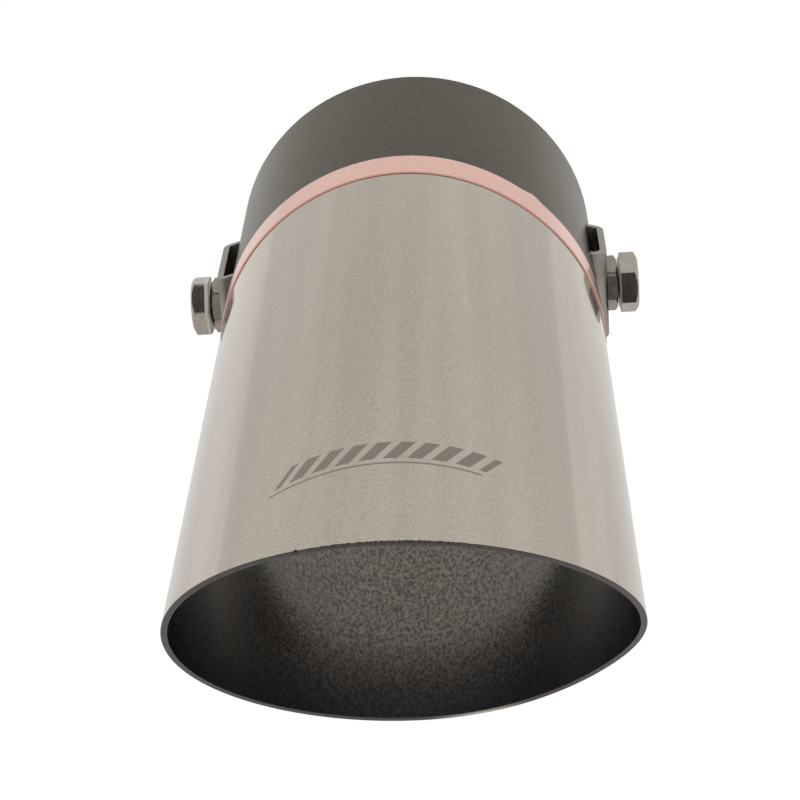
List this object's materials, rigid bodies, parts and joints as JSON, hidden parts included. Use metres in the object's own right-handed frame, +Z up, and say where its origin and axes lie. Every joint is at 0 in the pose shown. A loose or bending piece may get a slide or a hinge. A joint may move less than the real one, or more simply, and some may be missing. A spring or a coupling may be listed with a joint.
{
  "type": "exhaust tip",
  "caption": "Slash-cut steel tail pipe end with a thin rose band and, on each side, a folded bracket, a captive nut and a clamp bolt that grips the pipe slid inside.",
  "frame": {"origin": "centre of the square inlet end, on the tube's axis", "axes": "+Y out of the inlet along the axis, the slanted outlet towards -Y, +X to the right-hand bolt, +Z up to the longest point of the outlet"},
  "size_m": [0.109, 0.244, 0.0896],
  "materials": {
    "tube_steel": "polished stainless steel in front of the band, dark satin behind it and inside",
    "rose_film": "thin glossy rose-coloured film",
    "bracket_steel": "plain rolled stainless sheet, folded",
    "fastener_steel": "bright stainless nuts and bolts, lightly brushed"
  },
  "bodies": {
    "root": {"tube": "tube_steel", "band": "rose_film", "bracket_right": "bracket_steel", "bracket_left": "bracket_steel", "nut_right": "fastener_steel", "nut_left": "fastener_steel", "bolt_right": "fastener_steel", "bolt_left": "fastener_steel"}
  },
  "joints": []
}
